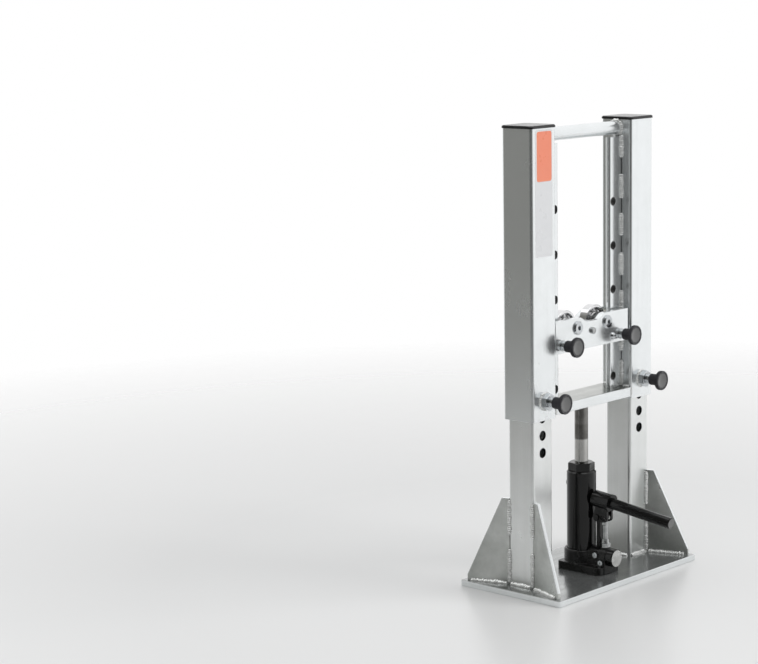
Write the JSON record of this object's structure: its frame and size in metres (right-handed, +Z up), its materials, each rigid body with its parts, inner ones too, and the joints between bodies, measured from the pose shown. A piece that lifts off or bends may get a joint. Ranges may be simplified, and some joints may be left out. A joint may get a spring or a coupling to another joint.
{
  "type": "cable drum jack",
  "caption": "Telescoping steel stand that lifts and carries one end of a cable drum's spindle: bottle jack, sliding frame with lock plungers, and a roller carriage pinned into drilled rails.",
  "frame": {"origin": "centre of the base plate's underside, on the floor", "axes": "+Z up; X runs from post to post; -Y is the operator's side with the plunger knobs and the pump handle, +Y the drum's side; the spindle lies along Y"},
  "size_m": [0.366, 0.283, 0.7445],
  "materials": {
    "zinc_steel": "bright zinc plating, fine drawn grain",
    "dark_zinc": "duller zinc plating",
    "bearing_steel": "ground bearing steel",
    "hard_chrome": "polished hard chrome",
    "black_paint": "glossy black enamel",
    "black_plastic": "moulded, satin",
    "rubber": "matt",
    "nylon": "natural nylon"
  },
  "bodies": {
    "base": {"base_plate": "zinc_steel", "left_post": "zinc_steel", "right_post": "zinc_steel", "gussets": "dark_zinc", "jack_base": "black_paint", "jack_reservoir": "black_paint", "jack_cylinder": "dark_zinc", "jack_top_nut": "black_paint", "pump_barrel": "zinc_steel", "fulcrum_post": "black_paint", "valve_plugs": "zinc_steel", "oil_plug": "rubber"},
    "ram": {"jack_ram": "hard_chrome", "ram_seal": "rubber"},
    "lift_frame": {"left_sleeve": "zinc_steel", "right_sleeve": "zinc_steel", "left_cap": "black_plastic", "right_cap": "black_plastic", "cross_bar": "zinc_steel", "top_grip": "zinc_steel", "left_rail": "zinc_steel", "right_rail": "zinc_steel", "plunger_nuts": "dark_zinc", "frame_bushes": "zinc_steel", "frame_springs": "dark_zinc"},
    "carriage": {"front_plate": "zinc_steel", "rear_plate": "zinc_steel", "front_pads": "nylon", "rear_pads": "nylon", "axle_bolts": "zinc_steel", "axle_bushes": "dark_zinc", "axle_washers": "zinc_steel", "inner_rings": "bearing_steel", "bearing_balls": "bearing_steel", "edge_guides": "nylon", "guide_screws": "zinc_steel", "centre_bolt": "dark_zinc", "centre_spacer": "zinc_steel", "plate_nuts": "dark_zinc", "carriage_bushes": "zinc_steel", "carriage_springs": "dark_zinc"},
    "left_roller": {"left_roller": "bearing_steel"},
    "right_roller": {"right_roller": "bearing_steel"},
    "left_frame_plunger": {"left_frame_pin": "zinc_steel", "left_frame_knob": "black_plastic"},
    "right_frame_plunger": {"right_frame_pin": "zinc_steel", "right_frame_knob": "black_plastic"},
    "left_carriage_plunger": {"left_carriage_pin": "zinc_steel", "left_carriage_knob": "black_plastic"},
    "right_carriage_plunger": {"right_carriage_pin": "zinc_steel", "right_carriage_knob": "black_plastic"},
    "pump_lever": {"pump_lever": "black_paint", "pump_handle": "black_paint", "fulcrum_pin": "zinc_steel"},
    "pump_piston": {"pump_piston": "hard_chrome", "pump_seal": "rubber", "piston_pin": "zinc_steel"},
    "release_valve": {"release_screw": "zinc_steel", "release_knob": "black_paint"}
  },
  "joints": [
    {"name": "frame_lift", "type": "slide", "parent": "base", "child": "lift_frame", "axis": [0, 0, 1], "range_m": [-0.084, 0.028]},
    {"name": "ram_slide", "type": "slide", "parent": "base", "child": "ram", "axis": [0, 0, 1], "range_m": [-0.084, 0.028]},
    {"name": "carriage_slide", "type": "slide", "parent": "lift_frame", "child": "carriage", "axis": [0, 0, 1], "range_m": [-0.072, 0.216]},
    {"name": "left_roller_spin", "type": "hinge", "parent": "carriage", "child": "left_roller", "pos_m": [-0.039, 0.0045, 0.416], "axis": [0, 1, 0], "continuous": true},
    {"name": "right_roller_spin", "type": "hinge", "parent": "carriage", "child": "right_roller", "pos_m": [0.039, 0.0045, 0.416], "axis": [0, 1, 0], "continuous": true},
    {"name": "left_frame_plunger_slide", "type": "slide", "parent": "lift_frame", "child": "left_frame_plunger", "axis": [0, 1, 0], "range_m": [0, 0.007], "deforming": ["frame_springs"]},
    {"name": "right_frame_plunger_slide", "type": "slide", "parent": "lift_frame", "child": "right_frame_plunger", "axis": [0, 1, 0], "range_m": [0, 0.007], "deforming": ["frame_springs"]},
    {"name": "left_carriage_plunger_slide", "type": "slide", "parent": "carriage", "child": "left_carriage_plunger", "axis": [0, 1, 0], "range_m": [0, 0.007], "deforming": ["carriage_springs"]},
    {"name": "right_carriage_plunger_slide", "type": "slide", "parent": "carriage", "child": "right_carriage_plunger", "axis": [0, 1, 0], "range_m": [0, 0.007], "deforming": ["carriage_springs"]},
    {"name": "pump_lever_hinge", "type": "hinge", "parent": "base", "child": "pump_lever", "pos_m": [0, -0.0395, 0.1015], "axis": [1, 0, 0], "range_deg": [0, 35]},
    {"name": "pump_piston_slide", "type": "slide", "parent": "base", "child": "pump_piston", "axis": [0, 0, 1], "range_m": [-0.0085, 0]},
    {"name": "release_turn", "type": "hinge", "parent": "base", "child": "release_valve", "pos_m": [0, -0.062, 0.0368], "axis": [0, -1, 0], "range_deg": [0, 360]}
  ],
  "couplings": [
    {"joint": "ram_slide", "follows": "frame_lift", "ratio": 1},
    {"joint": "pump_piston_slide", "follows": "pump_lever_hinge", "m_per_rad": -0.01332}
  ]
}
